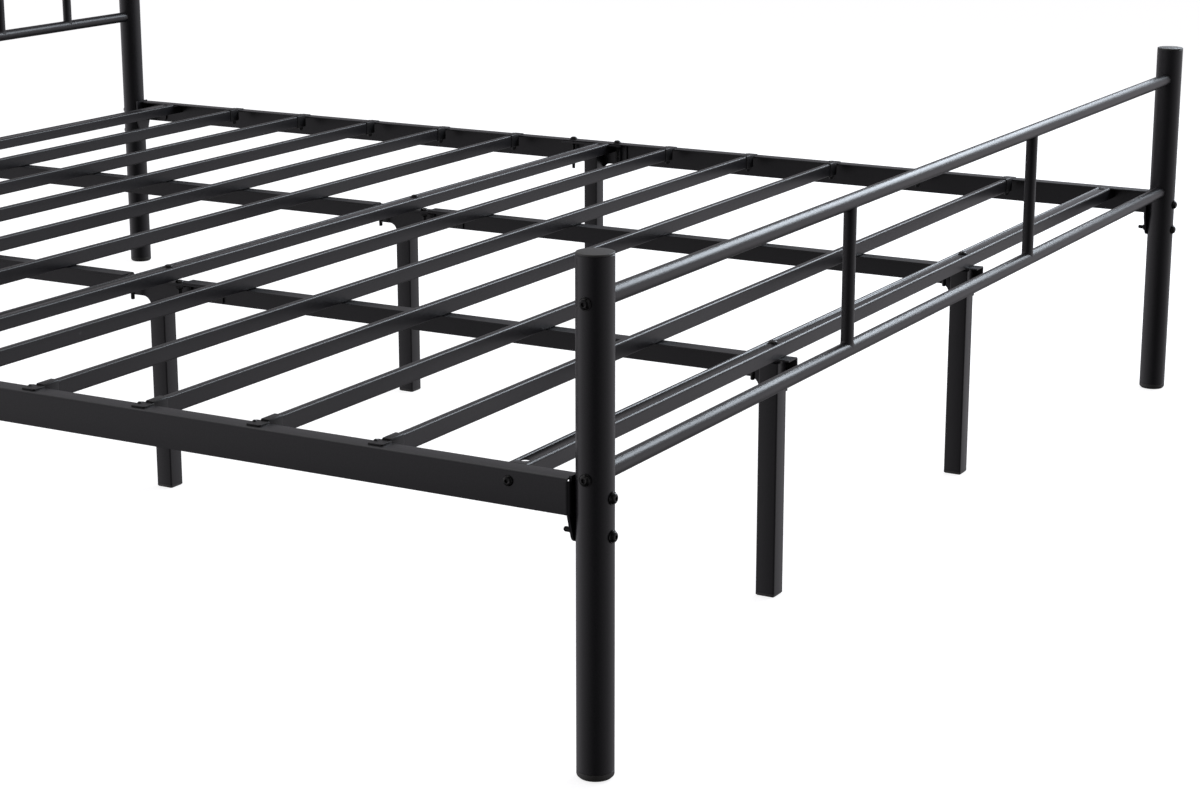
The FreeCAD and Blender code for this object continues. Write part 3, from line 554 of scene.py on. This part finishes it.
for side_name, side in SIDES.items():
    for end_name, end in ENDS.items():
        outline = end_plate(RAIL_FACE - HALF_X, DECK - POST_BOLT_DROPS[1], DECK + PLATE_RISE)
        plate = prism(outline, (side * HALF_X, end * PLATE_FACE, 0), (side, 0, 0), (0, 0, 1),
                      (0, -end * PLATE_SHEET, 0))
        fold = rounded([(0, 0, FOLD_R), (HEEL, 0, 0), (HEEL, HEEL, 0), (0, HEEL, 0)], 8)
        heel = prism(fold, (side * RAIL_FACE, end * PLATE_FACE, RAIL_FOOT), (-side, 0, 0), (0, -end, 0),
                     (0, 0, FOLD_TOP - RAIL_FOOT))
        start, stop = PLATE_SHEET, PLATE_SHEET + TONGUE
        flat = rounded([(start, RAIL_FOOT + SHEET, 0), (stop, RAIL_FOOT + SHEET, TONGUE_ROUND),
                        (stop, FOLD_TOP - SHEET, TONGUE_ROUND), (start, FOLD_TOP - SHEET, 0)])
        tongue = prism(flat, (side * (RAIL_FACE - SHEET), end * PLATE_FACE, 0), (0, -end, 0), (0, 0, 1),
                       (-side * PLATE_SHEET, 0, 0))
        piece = shaped(f"end_plate_{side_name}_{end_name}", [plate, heel, tongue])
        fitted(piece, coat, "frame_coat", f"rail_bracket_{side_name}_{end_name}")


# ---------------------------------------------------------------- cross bars
# Three folded angles across the bed at foot, middle and head, flush with the side rails. Each
# flange has a spare round hole near both ends, and the web runs under the rails to its screw.
BAR_BEND = 3 * MM
SPARE_HOLE = 11 * MM
SPARE_INSET = 14 * MM
BAR_TAB = 12 * MM
BAR_GAP = 0.5 * MM
BAR_CORNER = 2 * MM


def bored(part, places, diameter):
    """Upright round holes through a piece."""
    shells = [turned([(0, -0.02), (diameter / 2, -0.02), (diameter / 2, 0.02), (0, 0.02)], place, 32)
              for place in places]
    drill = shaped(part.name + "_drill", shells)
    cut = part.modifiers.new("holes", "BOOLEAN")
    cut.operation, cut.object, cut.solver = "DIFFERENCE", drill, "EXACT"
    result = bpy.data.meshes.new_from_object(part.evaluated_get(bpy.context.evaluated_depsgraph_get()))
    part.modifiers.clear()
    part.data = result
    bpy.data.objects.remove(drill)
    return part


for name in ("foot", "mid", "head"):
    node = f"cross_bar_{name}"
    low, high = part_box(node)
    flange_end = RAIL_EDGE - BAR_GAP
    web_start, web_top = flange_end - 1 * MM, DECK - RAIL_BEND - 1 * MM
    bar = folded_angle((-flange_end, low.y, DECK), (0, 1, 0), (2 * flange_end, 0, 0),
                       high.y - low.y, DECK - low.z, SHEET, BAR_BEND)
    shells = [bar]
    for side in SIDES.values():
        web = rounded([(web_start, low.z, SHEARED), (high.x, low.z, SHEARED), (high.x, web_top, SHEARED),
                       (web_start, DECK - RAIL_BEND, 0)])
        shells.append(prism(web, (0, low.y, 0), (side, 0, 0), (0, 0, 1), (0, SHEET, 0)))
        tab = rounded([(0, low.z, BAR_CORNER), (BAR_TAB, low.z, BAR_CORNER), (BAR_TAB, web_top, BAR_CORNER),
                       (0, web_top, BAR_CORNER)])
        shells.append(prism(tab, (side * high.x, low.y, 0), (0, 1, 0), (0, 0, 1), (-side * SHEET, 0, 0)))
    middle = (low.y + high.y) / 2
    holes = [(side * (flange_end - SPARE_INSET), middle, DECK) for side in SIDES.values()]
    angle = bored(shaped(f"bar_{name}", shells), holes, SPARE_HOLE)
    fitted(angle, coat, "frame_coat", node)


# ---------------------------------------------------------------- centre rails
# Two lighter folded angles under the slats, each in two halves, with the web on the right. A
# splice angle nests inside both halves at the middle and shows bare between their ends.
CENTRE_BEND = 3 * MM
SPLICE_SHEET = 2.5 * MM
splice_low, splice_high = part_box("splice_angles")

for side_name, side in SIDES.items():
    for end_name, end in ENDS.items():
        node = f"centre_rail_{side_name}_{end_name}"
        low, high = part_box(node)
        shell = folded_angle((high.x, low.y, high.z), (-1, 0, 0), (0, high.y - low.y, 0),
                             high.x - low.x, high.z - low.z, SHEET, CENTRE_BEND)
        fitted(shaped(f"centre_angle_{side_name}_{end_name}", [shell]), coat, "frame_coat", node)

splices = []
for side_name in SIDES:
    low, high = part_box(f"centre_rail_{side_name}_foot")
    splices.append(folded_angle((high.x - SHEET, splice_low.y, splice_high.z), (-1, 0, 0),
                                (0, splice_high.y - splice_low.y, 0), high.x - low.x - SHEET,
                                splice_high.z - splice_low.z, SPLICE_SHEET, SPLICE_SHEET + 1 * MM))
fitted(shaped("splice_pair", splices), coat, "frame_coat", "splice_angles")


# ---------------------------------------------------------------- slats
# Ten flat tubes on edge, 10 by 21 mm, rolled with rounded edges so that each top catches a
# thin line of light. They rest on the centre rails.
SLAT_ROUND = 2.4 * MM
slat_low, slat_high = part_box("slat_01")
SLAT_HALF = (slat_high.y - slat_low.y) / 2
SLAT_END = slat_high.x
slat_rows = [(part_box(f"slat_{n:02d}")[0].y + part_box(f"slat_{n:02d}")[1].y) / 2 for n in range(1, 11)]
SLAT_STEP = slat_rows[1] - slat_rows[0]

section = rounded([(-SLAT_HALF, slat_low.z, SLAT_ROUND), (SLAT_HALF, slat_low.z, SLAT_ROUND),
                   (SLAT_HALF, slat_high.z, SLAT_ROUND), (-SLAT_HALF, slat_high.z, SLAT_ROUND)], 6)
slat_pattern = pattern_part("slat_pattern", [prism(section, (-SLAT_END, 0, 0), (0, 1, 0), (0, 0, 1),
                                                   (2 * SLAT_END, 0, 0))])
for half_name, first in (("foot", 0), ("head", 5)):
    bars = grown(f"slats_{half_name}", row, {
        "Part": slat_pattern, "Count": 5, "Start": (0, slat_rows[first], 0), "Step": (0, SLAT_STEP, 0),
        "Finish": coat})
    fitted(bars, coat, "frame_coat", *[f"slat_{n:02d}" for n in range(first + 1, first + 6)])


# ---------------------------------------------------------------- slat clips
# Black plastic collar pushed over each slat end. A tab lies on the rail's flange, with a small
# stud at its head-side corner, and a round peg stands below the collar.
CLIP_WALL = 1.2 * MM
CLIP_GRIP = 24 * MM
CLIP_GAP = 1 * MM
TAB_OUT = 18 * MM
TAB_LONG = 19 * MM
TAB_SHEET = 2 * MM
STUD_R = 2.4 * MM
STUD_RISE = 1.4 * MM
PEG_R = 4 * MM
PEG_DROP = 6 * MM
PEG_INSET = 8 * MM
STUD_OUT = 6 * MM
TAB_MIDDLE = 8 * MM
TAB_ROUND = 2.5 * MM
COLLAR_ROUND = 2 * MM
CLIP_DEEP = (0.0045, 0.0045, 0.0050, 1)
CLIP_PALE = (0.0090, 0.0090, 0.0095, 1)
CLIP_ROUGH = 0.42
CLIP_GLOSS = 0.22


def lofted(rings):
    """Closed shell through rings of equally many points."""
    count, last = len(rings[0]), len(rings) - 1
    faces = []
    for level in range(last):
        low, high = level * count, (level + 1) * count
        faces += [[low + k, low + (k + 1) % count, high + (k + 1) % count, high + k] for k in range(count)]
    faces += [list(range(count)), list(range(last * count, (last + 1) * count))]
    return [point for ring in rings for point in ring], faces


def clip_shells(side):
    """Collar, tab, stud and peg of one clip, with the slat's middle line at y = 0."""
    reach = SLAT_HALF + CLIP_WALL
    low, high = slat_low.z - CLIP_WALL, slat_high.z + CLIP_WALL
    outer = RAIL_EDGE - CLIP_GAP
    grip = SLAT_END - CLIP_GRIP
    corners = ((-reach, low), (reach, low), (reach, high), (-reach, high))
    collar = rounded([(u, v, COLLAR_ROUND) for u, v in corners])
    inset = [(u * 0.93, (v - (low + high) / 2) * 0.965 + (low + high) / 2) for u, v in collar]
    sleeve = lofted([[Vector((side * x, u, v)) for u, v in outline] for x, outline in (
        (grip, inset), (grip + 0.8 * MM, collar), (outer - 1 * MM, collar), (outer, inset))])
    tab_outline = rounded([(outer - CLIP_WALL, -reach, 0.5 * MM), (outer + TAB_OUT, -reach, TAB_ROUND),
                           (outer + TAB_OUT, TAB_LONG - reach, TAB_ROUND),
                           (outer - CLIP_WALL, TAB_LONG - reach, TAB_ROUND)])
    tab_x = outer + TAB_MIDDLE
    eased = [(tab_x + (u - tab_x) * 0.955, v * 0.955) for u, v in tab_outline]
    tab = lofted([[Vector((side * u, v, z)) for u, v in outline] for z, outline in (
        (DECK, tab_outline), (DECK + TAB_SHEET * 0.75, tab_outline), (DECK + TAB_SHEET, eased))])
    stud_at = (side * (outer + STUD_OUT), TAB_LONG - reach - STUD_R - 1 * MM, DECK)
    top = TAB_SHEET + STUD_RISE
    stud = turned([(0, 0), (STUD_R, 0), (STUD_R, top - 1 * MM), (STUD_R - 1 * MM, top), (0, top)],
                  stud_at, 24)
    peg_at = (side * (outer - PEG_INSET), 0, low - PEG_DROP)
    peg = turned([(0, 0), (PEG_R - 1 * MM, 0), (PEG_R, 1 * MM), (PEG_R, PEG_DROP + 1 * MM),
                  (0, PEG_DROP + 1 * MM)], peg_at, 24)
    return [sleeve, tab, stud, peg]


clip_plastic = moulded_plastic("black_clip_mould", CLIP_DEEP, CLIP_PALE, CLIP_ROUGH, CLIP_GLOSS)
for side_name, side in SIDES.items():
    clip_pattern = pattern_part(f"clip_pattern_{side_name}", clip_shells(side))
    for half_name, first in (("foot", 0), ("head", 5)):
        clips = grown(f"clips_{side_name}_{half_name}", row, {
            "Part": clip_pattern, "Count": 5, "Start": (0, slat_rows[first], 0), "Step": (0, SLAT_STEP, 0),
            "Finish": clip_plastic})
        fitted(clips, clip_plastic, "black_plastic", "slat_clips")


# ---------------------------------------------------------------- support legs
# Square tubes of 26 mm with rounded corners, plugged at the floor. Each is welded to a plate
# that sits inside a rail; the plate's lower corners curve in to the leg like shoulders.
LEG_HALF = 13 * MM
LEG_CORNER = 2 * MM
PLATE = 3 * MM
SHELF = 2.5 * MM
SHOULDER = 13 * MM
FOOT_RIM = 4 * MM
FOOT_PLUG = 6 * MM
MID_NECK = 6 * MM
END_NECK = 12 * MM


def shoulders(side_x, y, reaches, necks, top, bottom):
    """Upright plate above a leg, with its lower corners curved in to a neck beside the leg."""
    low = bottom - SHOULDER
    outline = [(-reaches[0], top)]
    for sign, reach, neck in ((-1, reaches[0], LEG_HALF + necks[0]), (1, reaches[1], LEG_HALF + necks[1])):
        corner = [(sign * neck, low)]
        if reach > neck + SHOULDER:
            turns = [math.pi / 2 * k / 8 for k in range(9)]
            corner = [(sign * reach, bottom)]
            corner += [(sign * (neck + SHOULDER * (1 - math.sin(t))), low + SHOULDER * math.cos(t))
                       for t in turns]
        outline += corner if sign < 0 else corner[::-1]
    outline.append((reaches[1], top))
    return prism(outline, (side_x, y, 0), (0, 1, 0), (0, 0, 1), (PLATE, 0, 0))


def slab(x0, x1, y0, y1, z0, z1, corner=1.5 * MM):
    """Block between two heights with its upright edges rounded."""
    outline = rounded([(x0, y0, corner), (x1, y0, corner), (x1, y1, corner), (x0, y1, corner)], 3)
    return prism(outline, (0, 0, z0), (1, 0, 0), (0, 1, 0), (0, 0, z1 - z0))


def square_post(x, y, half, low, high):
    """Upright bar of the legs' section about (x, y)."""
    return slab(x - half, x + half, y - half, y + half, low, high, LEG_CORNER)


leg_places = []
for side_name, side in SIDES.items():
    low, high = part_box(f"side_leg_{side_name}")
    leg_x = side * (max(abs(low.x), abs(high.x)) - PLATE - LEG_HALF)
    plate_x = side * max(abs(low.x), abs(high.x)) - (PLATE if side > 0 else 0)
    half = (high.y - low.y) / 2
    shells = [square_post(leg_x, 0, LEG_HALF, FOOT_RIM, high.z - SHELF),
              shoulders(plate_x, 0, (half, half), (0, 0), DECK - RAIL_BEND, RAIL_FOOT - 1 * MM),
              slab(min(low.x, high.x) if side > 0 else low.x + PLATE, high.x - PLATE if side > 0 else high.x,
                   low.y, high.y, high.z - SHELF, high.z)]
    fitted(shaped(f"leg_side_{side_name}", shells), coat, "frame_coat", f"side_leg_{side_name}")
    leg_places.append((leg_x, 0))
    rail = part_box(f"centre_rail_{side_name}_foot")
    for spot, end in (("foot", -1), ("mid", 0), ("head", 1)):
        node = f"centre_leg_{side_name}_{spot}"
        low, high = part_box(node)
        bottom = rail[0].z - 1 * MM
        if spot == "mid":
            plate_x = rail[1].x - SHEET - SPLICE_SHEET - PLATE
            leg_x, leg_y, leg_top = plate_x + PLATE / 2, 0, bottom - SHOULDER / 2
            reaches, necks = (-low.y, high.y), (MID_NECK, MID_NECK)
        else:
            plate_x = rail[1].x - SHEET - PLATE
            leg_x, leg_top = plate_x - LEG_HALF, high.z - SHELF
            leg_y = low.y + LEG_HALF if end < 0 else high.y - LEG_HALF
            reaches = (leg_y - low.y, high.y - leg_y)
            necks = (0, END_NECK) if end < 0 else (END_NECK, 0)
        shells = [square_post(leg_x, leg_y, LEG_HALF, FOOT_RIM, leg_top),
                  shoulders(plate_x, leg_y, reaches, necks, high.z - 1 * MM, bottom),
                  slab(rail[0].x + 1 * MM, plate_x + PLATE - 1 * MM, low.y, high.y, high.z - SHELF, high.z)]
        fitted(shaped(f"leg_centre_{side_name}_{spot}", shells), coat, "frame_coat", node)
        leg_places.append((leg_x, leg_y))

feet = []
for x, y in leg_places:
    toe = LEG_HALF - 1 * MM
    feet.append(square_post(x, y, LEG_HALF, 1 * MM, FOOT_RIM - 0.2 * MM))
    feet.append(square_post(x, y, toe, 0, 1.2 * MM))
    feet.append(square_post(x, y, toe, FOOT_RIM - 0.4 * MM, FOOT_RIM + FOOT_PLUG))
fitted(shaped("leg_foot_plugs", feet), plastic, "black_plastic", "leg_feet")


# ---------------------------------------------------------------- bolts and nuts
# M6 button-head socket bolts in black oxide, with washers at the posts and the side joints, and
# lock nuts behind. The bolts that join rails and legs are long, so their ends show below.
HEAD_R = 6 * MM
HEAD_RISE = 3.3 * MM
WASHER_R = 7 * MM
WASHER = 1.2 * MM
SOCKET_AF = 4 * MM
SHANK_R = 3 * MM
PITCH = 1 * MM
NUT_AF = 10 * MM
NUT_RISE = 5 * MM
POST_BOLT_END = 8 * MM
END_BOLT = 27 * MM
MID_BOLT = 42 * MM
SIDE_BOLT = 45 * MM
BAR_BOLT_OFF = 6 * MM
TIP = 270 * MM
END_TIP = 273.5 * MM
SCREW_DROP = 12 * MM
OXIDE_DEEP = (0.003, 0.003, 0.003, 1)
OXIDE_RUBBED = (0.030, 0.029, 0.028, 1)
OXIDE_GLOSS = 0.20


def black_oxide(name):
    """Oiled black steel, rubbed paler in patches, with a fine grain."""
    material = bpy.data.materials.new(name)
    material.use_nodes = True
    bench = Bench(material.node_tree)
    place = bench.add("ShaderNodeTexCoord", {}, {}, "Object")
    cloud = bench.add("ShaderNodeTexNoise", {}, {"Vector": place, "Scale": 260.0, "Detail": 4.0})
    fine = bench.add("ShaderNodeTexNoise", {}, {"Vector": place, "Scale": 1800.0, "Detail": 2.0})
    rubbed = bench.add("ShaderNodeValToRGB", {"stops": [(0.50, 0.0), (0.68, 1.0)]}, {0: cloud})
    tone = bench.add("ShaderNodeMix", {"data_type": "RGBA"}, {0: rubbed, 6: OXIDE_DEEP, 7: OXIDE_RUBBED}, 2)
    bump = bench.add("ShaderNodeBump", {}, {"Height": fine, "Strength": 0.35, "Distance": 0.00008})
    shell = bench.add("ShaderNodeBsdfPrincipled", {}, {
        "Base Color": tone, "Metallic": 0.35, "Roughness": 0.18 + cloud * 0.16,
        "Specular IOR Level": OXIDE_GLOSS, "Normal": bump})
    bench.add("ShaderNodeOutputMaterial", {}, {"Surface": shell})
    return material


def hexagonal(across_flats):
    """Radius of a hexagon at an angle."""
    return lambda a: across_flats / 2 / math.cos((a + math.pi / 6) % (math.pi / 3) - math.pi / 6)


def parts_set():
    """Tree for one part at every point of a mesh, its Z axis turned to the point's axis."""
    tree = bpy.data.node_groups.new("parts_on_points", "GeometryNodeTree")
    bench = Bench(tree)
    for name, kind in (("Places", "Geometry"), ("Part", "Object"), ("Seed", "Int"), ("Finish", "Material")):
        tree.interface.new_socket(name, in_out="INPUT", socket_type="NodeSocket" + kind)
    tree.interface.new_socket("Parts", in_out="OUTPUT", socket_type="NodeSocketGeometry")
    given = tree.nodes.new("NodeGroupInput")
    wire = {socket.name: Wire(bench, socket) for socket in given.outputs}
    part = bench.add("GeometryNodeObjectInfo", {}, {"Object": wire["Part"]}, "Geometry")
    axis = bench.add("GeometryNodeInputNamedAttribute", {"data_type": "FLOAT_VECTOR"}, {"Name": "axis"})
    aimed = bench.add("FunctionNodeAlignRotationToVector", {"axis": "Z"}, {"Vector": axis})
    spin = bench.add("FunctionNodeRandomValue", {"data_type": "FLOAT"}, {
        2: 0.0, 3: math.pi, "Seed": wire["Seed"]}, 1)
    turn = bench.add("FunctionNodeAxisAngleToRotation", {}, {"Axis": (0, 0, 1), "Angle": spin})
    facing = bench.add("FunctionNodeRotateRotation", {"rotation_space": "LOCAL"}, {0: aimed, 1: turn})
    copies = bench.add("GeometryNodeInstanceOnPoints", {}, {
        "Points": wire["Places"], "Instance": part, "Rotation": facing})
    solid = bench.add("GeometryNodeRealizeInstances", {}, {"Geometry": copies})
    coated = bench.add("GeometryNodeSetMaterial", {}, {"Geometry": solid, "Material": wire["Finish"]})
    bench.add("NodeGroupOutput", {}, {0: coated})
    return tree


def on_places(name, tree, pattern, places, finish, seed):
    """The pattern set at each (place, axis)."""
    mesh = bpy.data.meshes.new(name)
    mesh.from_pydata([place for place, axis in places], [], [])
    aims = mesh.attributes.new("axis", "FLOAT_VECTOR", "POINT")
    aims.data.foreach_set("vector", [value for place, axis in places for value in axis])
    return grown(name, tree, {"Part": pattern, "Seed": seed, "Finish": finish}, mesh)


def head_profile(base):
    """Button head with a hexagon socket, from its seat up."""
    socket = hexagonal(SOCKET_AF)
    rise = base + HEAD_RISE
    return [(HEAD_R - 0.2 * MM, base), (HEAD_R, base + 0.3 * MM), (HEAD_R * 0.97, base + 1.0 * MM),
            (HEAD_R * 0.86, rise - 1.1 * MM), (HEAD_R * 0.70, rise - 0.35 * MM), (HEAD_R * 0.52, rise),
            (SOCKET_AF * 0.64, rise), (socket, rise - 0.25 * MM), (socket, rise - 2.0 * MM),
            (0, rise - 2.3 * MM)]


def threaded(length):
    """Threaded rod below its seat, with the thread as even ridges and a chamfered end."""
    rings = [(0, -length), (SHANK_R * 0.70, -length), (SHANK_R * 0.86, -length + 0.6 * MM)]
    ridges = int((length - 1 * MM) / PITCH)
    for ridge in range(ridges):
        z = -length + 0.9 * MM + ridge * PITCH
        rings += [(SHANK_R * 0.86, z), (SHANK_R, z + PITCH * 0.5)]
    rings += [(SHANK_R * 0.86, 0.5 * MM), (0, 0.5 * MM)]
    return turned(rings, sides=20)


oxide = black_oxide("black_oxide_steel")
fasten = parts_set()
washer_rings = [(0, 0), (WASHER_R - 0.2 * MM, 0), (WASHER_R, 0.2 * MM), (WASHER_R, WASHER - 0.2 * MM),
                (WASHER_R - 0.2 * MM, WASHER)]
washered_head = pattern_part("washered_head_pattern", [turned(washer_rings + head_profile(WASHER), sides=48)])
plain_head = pattern_part("plain_head_pattern", [turned([(0, 0)] + head_profile(0), sides=48)])
hexed = hexagonal(NUT_AF)
lock_nut = pattern_part("lock_nut_pattern", [turned([
    (0, 0), (NUT_AF * 0.47, 0), (hexed, 0.5 * MM), (hexed, NUT_RISE * 0.62), (NUT_AF * 0.49, NUT_RISE * 0.72),
    (NUT_AF * 0.43, NUT_RISE * 0.78), (NUT_AF * 0.40, NUT_RISE), (0, NUT_RISE)], sides=48)])

tube_heads, plate_heads, joint_heads, plain_heads, nuts, tails = [], [], [], [], [], []
for end_name, end in ENDS.items():
    for side_name, side in SIDES.items():
        for level in ("lower", "upper"):
            low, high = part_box(f"{end_name}_{level}_tube")
            tube_heads.append(((side * (HALF_X + POST_R), end * HALF_Y, (low.z + high.z) / 2), (side, 0, 0)))
        for drop in POST_BOLT_DROPS:
            plate_heads.append(((side * HALF_X, end * (HALF_Y + POST_R), DECK - drop), (0, end, 0)))
            behind = (side * HALF_X, end * (PLATE_FACE - PLATE_SHEET), DECK - drop)
            nuts.append((behind, (0, -end, 0)))
            tails.append((behind, (0, end, 0), NUT_RISE + POST_BOLT_END))

for side_name, side in SIDES.items():
    rail_low, rail_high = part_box(f"centre_rail_{side_name}_foot")
    bolt_x = (rail_low.x + rail_high.x) / 2 - BAR_BOLT_OFF
    for bar in ("foot", "mid", "head"):
        low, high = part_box(f"cross_bar_{bar}")
        plain_heads.append(((bolt_x, (low.y + high.y) / 2, DECK), (0, 0, 1)))
        plain_heads.append(((side * RAIL_FACE, low.y + SHEET + BAR_TAB / 2, DECK - SCREW_DROP), (side, 0, 0)))
    for end_name, end in ENDS.items():
        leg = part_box(f"centre_leg_{side_name}_{end_name}")
        leg_y = leg[0].y + LEG_HALF if end < 0 else leg[1].y - LEG_HALF
        side_x = side * (RAIL_FACE + RAIL_EDGE) / 2
        for heads, x, y, seat, grip, tip in (
                (joint_heads, side_x, end * SIDE_BOLT, DECK, SHEET + SHELF, TIP),
                (plain_heads, bolt_x, end * MID_BOLT, splice_high.z, SPLICE_SHEET + SHELF, TIP),
                (plain_heads, bolt_x, leg_y - end * END_BOLT, rail_high.z, SHEET + SHELF, END_TIP)):
            heads.append(((x, y, seat), (0, 0, 1)))
            nuts.append(((x, y, seat - grip), (0, 0, -1)))
            tails.append(((x, y, seat - grip), (0, 0, 1), seat - grip - tip))

for name, pattern, places, seed, node in (
        ("tube_bolt_heads", washered_head, tube_heads, 3, "tube_bolts"),
        ("post_bolt_heads", washered_head, plate_heads, 5, "frame_bolts"),
        ("joint_bolt_heads", washered_head, joint_heads, 6, "frame_bolts"),
        ("plain_bolt_heads", plain_head, plain_heads, 8, "frame_bolts"),
        ("lock_nut_set", lock_nut, nuts, 11, "lock_nuts")):
    fitted(on_places(name, fasten, pattern, places, oxide, seed), oxide, "black_bolts", node)
for number, reach in enumerate(sorted({round(tail[2], 4) for tail in tails}), start=1):
    rod = pattern_part(f"bolt_tail_pattern_{number}", [threaded(reach)], sharp=80)
    own = [(place, axis) for place, axis, length in tails if round(length, 4) == reach]
    fitted(on_places(f"bolt_tails_{number}", fasten, rod, own, oxide, 17), oxide, "black_bolts",
           "frame_bolts")
